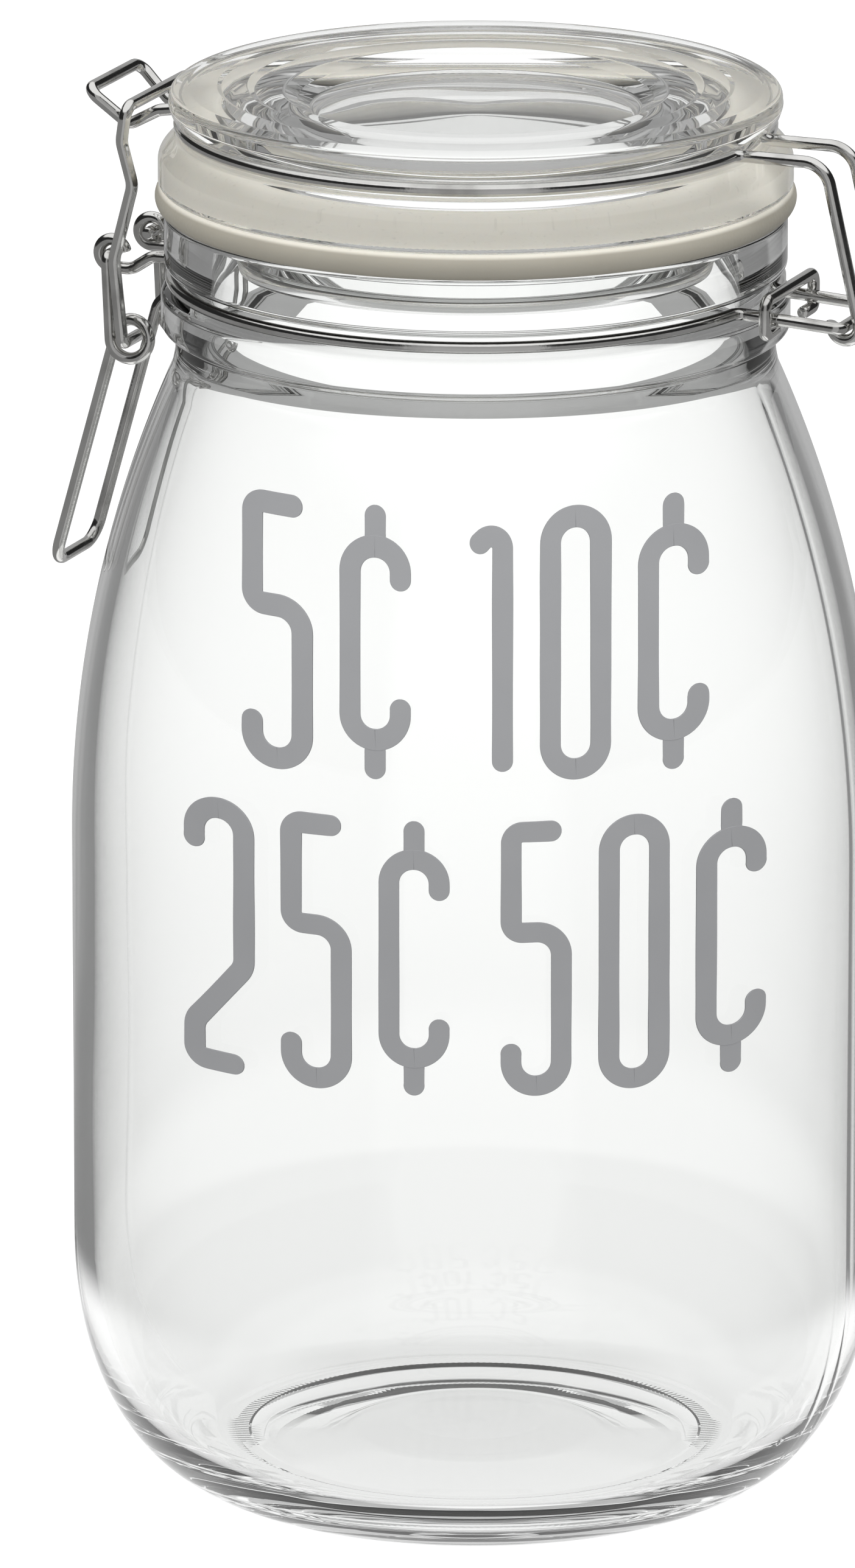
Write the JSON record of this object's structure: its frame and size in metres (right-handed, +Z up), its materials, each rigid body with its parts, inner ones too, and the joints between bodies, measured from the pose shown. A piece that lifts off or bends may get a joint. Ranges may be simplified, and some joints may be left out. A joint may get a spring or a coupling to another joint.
{
  "type": "clip-top glass storage jar",
  "caption": "Tall round clip-top glass jar for coins, with a hinged glass lid, a rubber seal, a wire over-centre latch and printed coin values.",
  "frame": {"origin": "centre of the base, on the surface the jar stands on", "axes": "+Z up along the jar's axis, +X towards the lid's hinge, -X towards the latch"},
  "size_m": [0.1397, 0.1306, 0.231],
  "materials": {
    "glass": "clear pressed glass, polished",
    "rubber": "matte cream rubber",
    "wire": "bright steel wire",
    "print": "matte grey vinyl"
  },
  "bodies": {
    "jar": {"jar_body_glass": "glass", "neck_collar_wire": "wire", "hinge_clip_wire": "wire", "print_top_1": "print", "print_top_2": "print", "print_top_3": "print", "print_top_4": "print", "print_top_5": "print", "print_bottom_1": "print", "print_bottom_2": "print", "print_bottom_3": "print", "print_bottom_4": "print", "print_bottom_5": "print", "print_bottom_6": "print"},
    "lid": {"lid_glass": "glass", "seal_ring": "rubber", "lid_bail_wire": "wire"},
    "lever": {"latch_lever_wire": "wire"},
    "link": {"latch_link_wire": "wire"}
  },
  "joints": [
    {"name": "lid_hinge", "type": "hinge", "parent": "jar", "child": "lid", "pos_m": [0.0654, 0, 0.1989], "axis": [0, 1, 0], "range_deg": [0, 110]},
    {"name": "lever_pivot", "type": "hinge", "parent": "jar", "child": "lever", "pos_m": [-0.0596, 0, 0.1998], "axis": [0, 1, 0], "range_deg": [0, 120]},
    {"name": "link_pivot", "type": "hinge", "parent": "lever", "child": "link", "pos_m": [-0.0559, 0, 0.1862], "axis": [0, 1, 0], "range_deg": [-84, 0]}
  ],
  "couplings": [
    {"joint": "link_pivot", "follows": "lever_pivot", "ratio": -0.7}
  ]
}
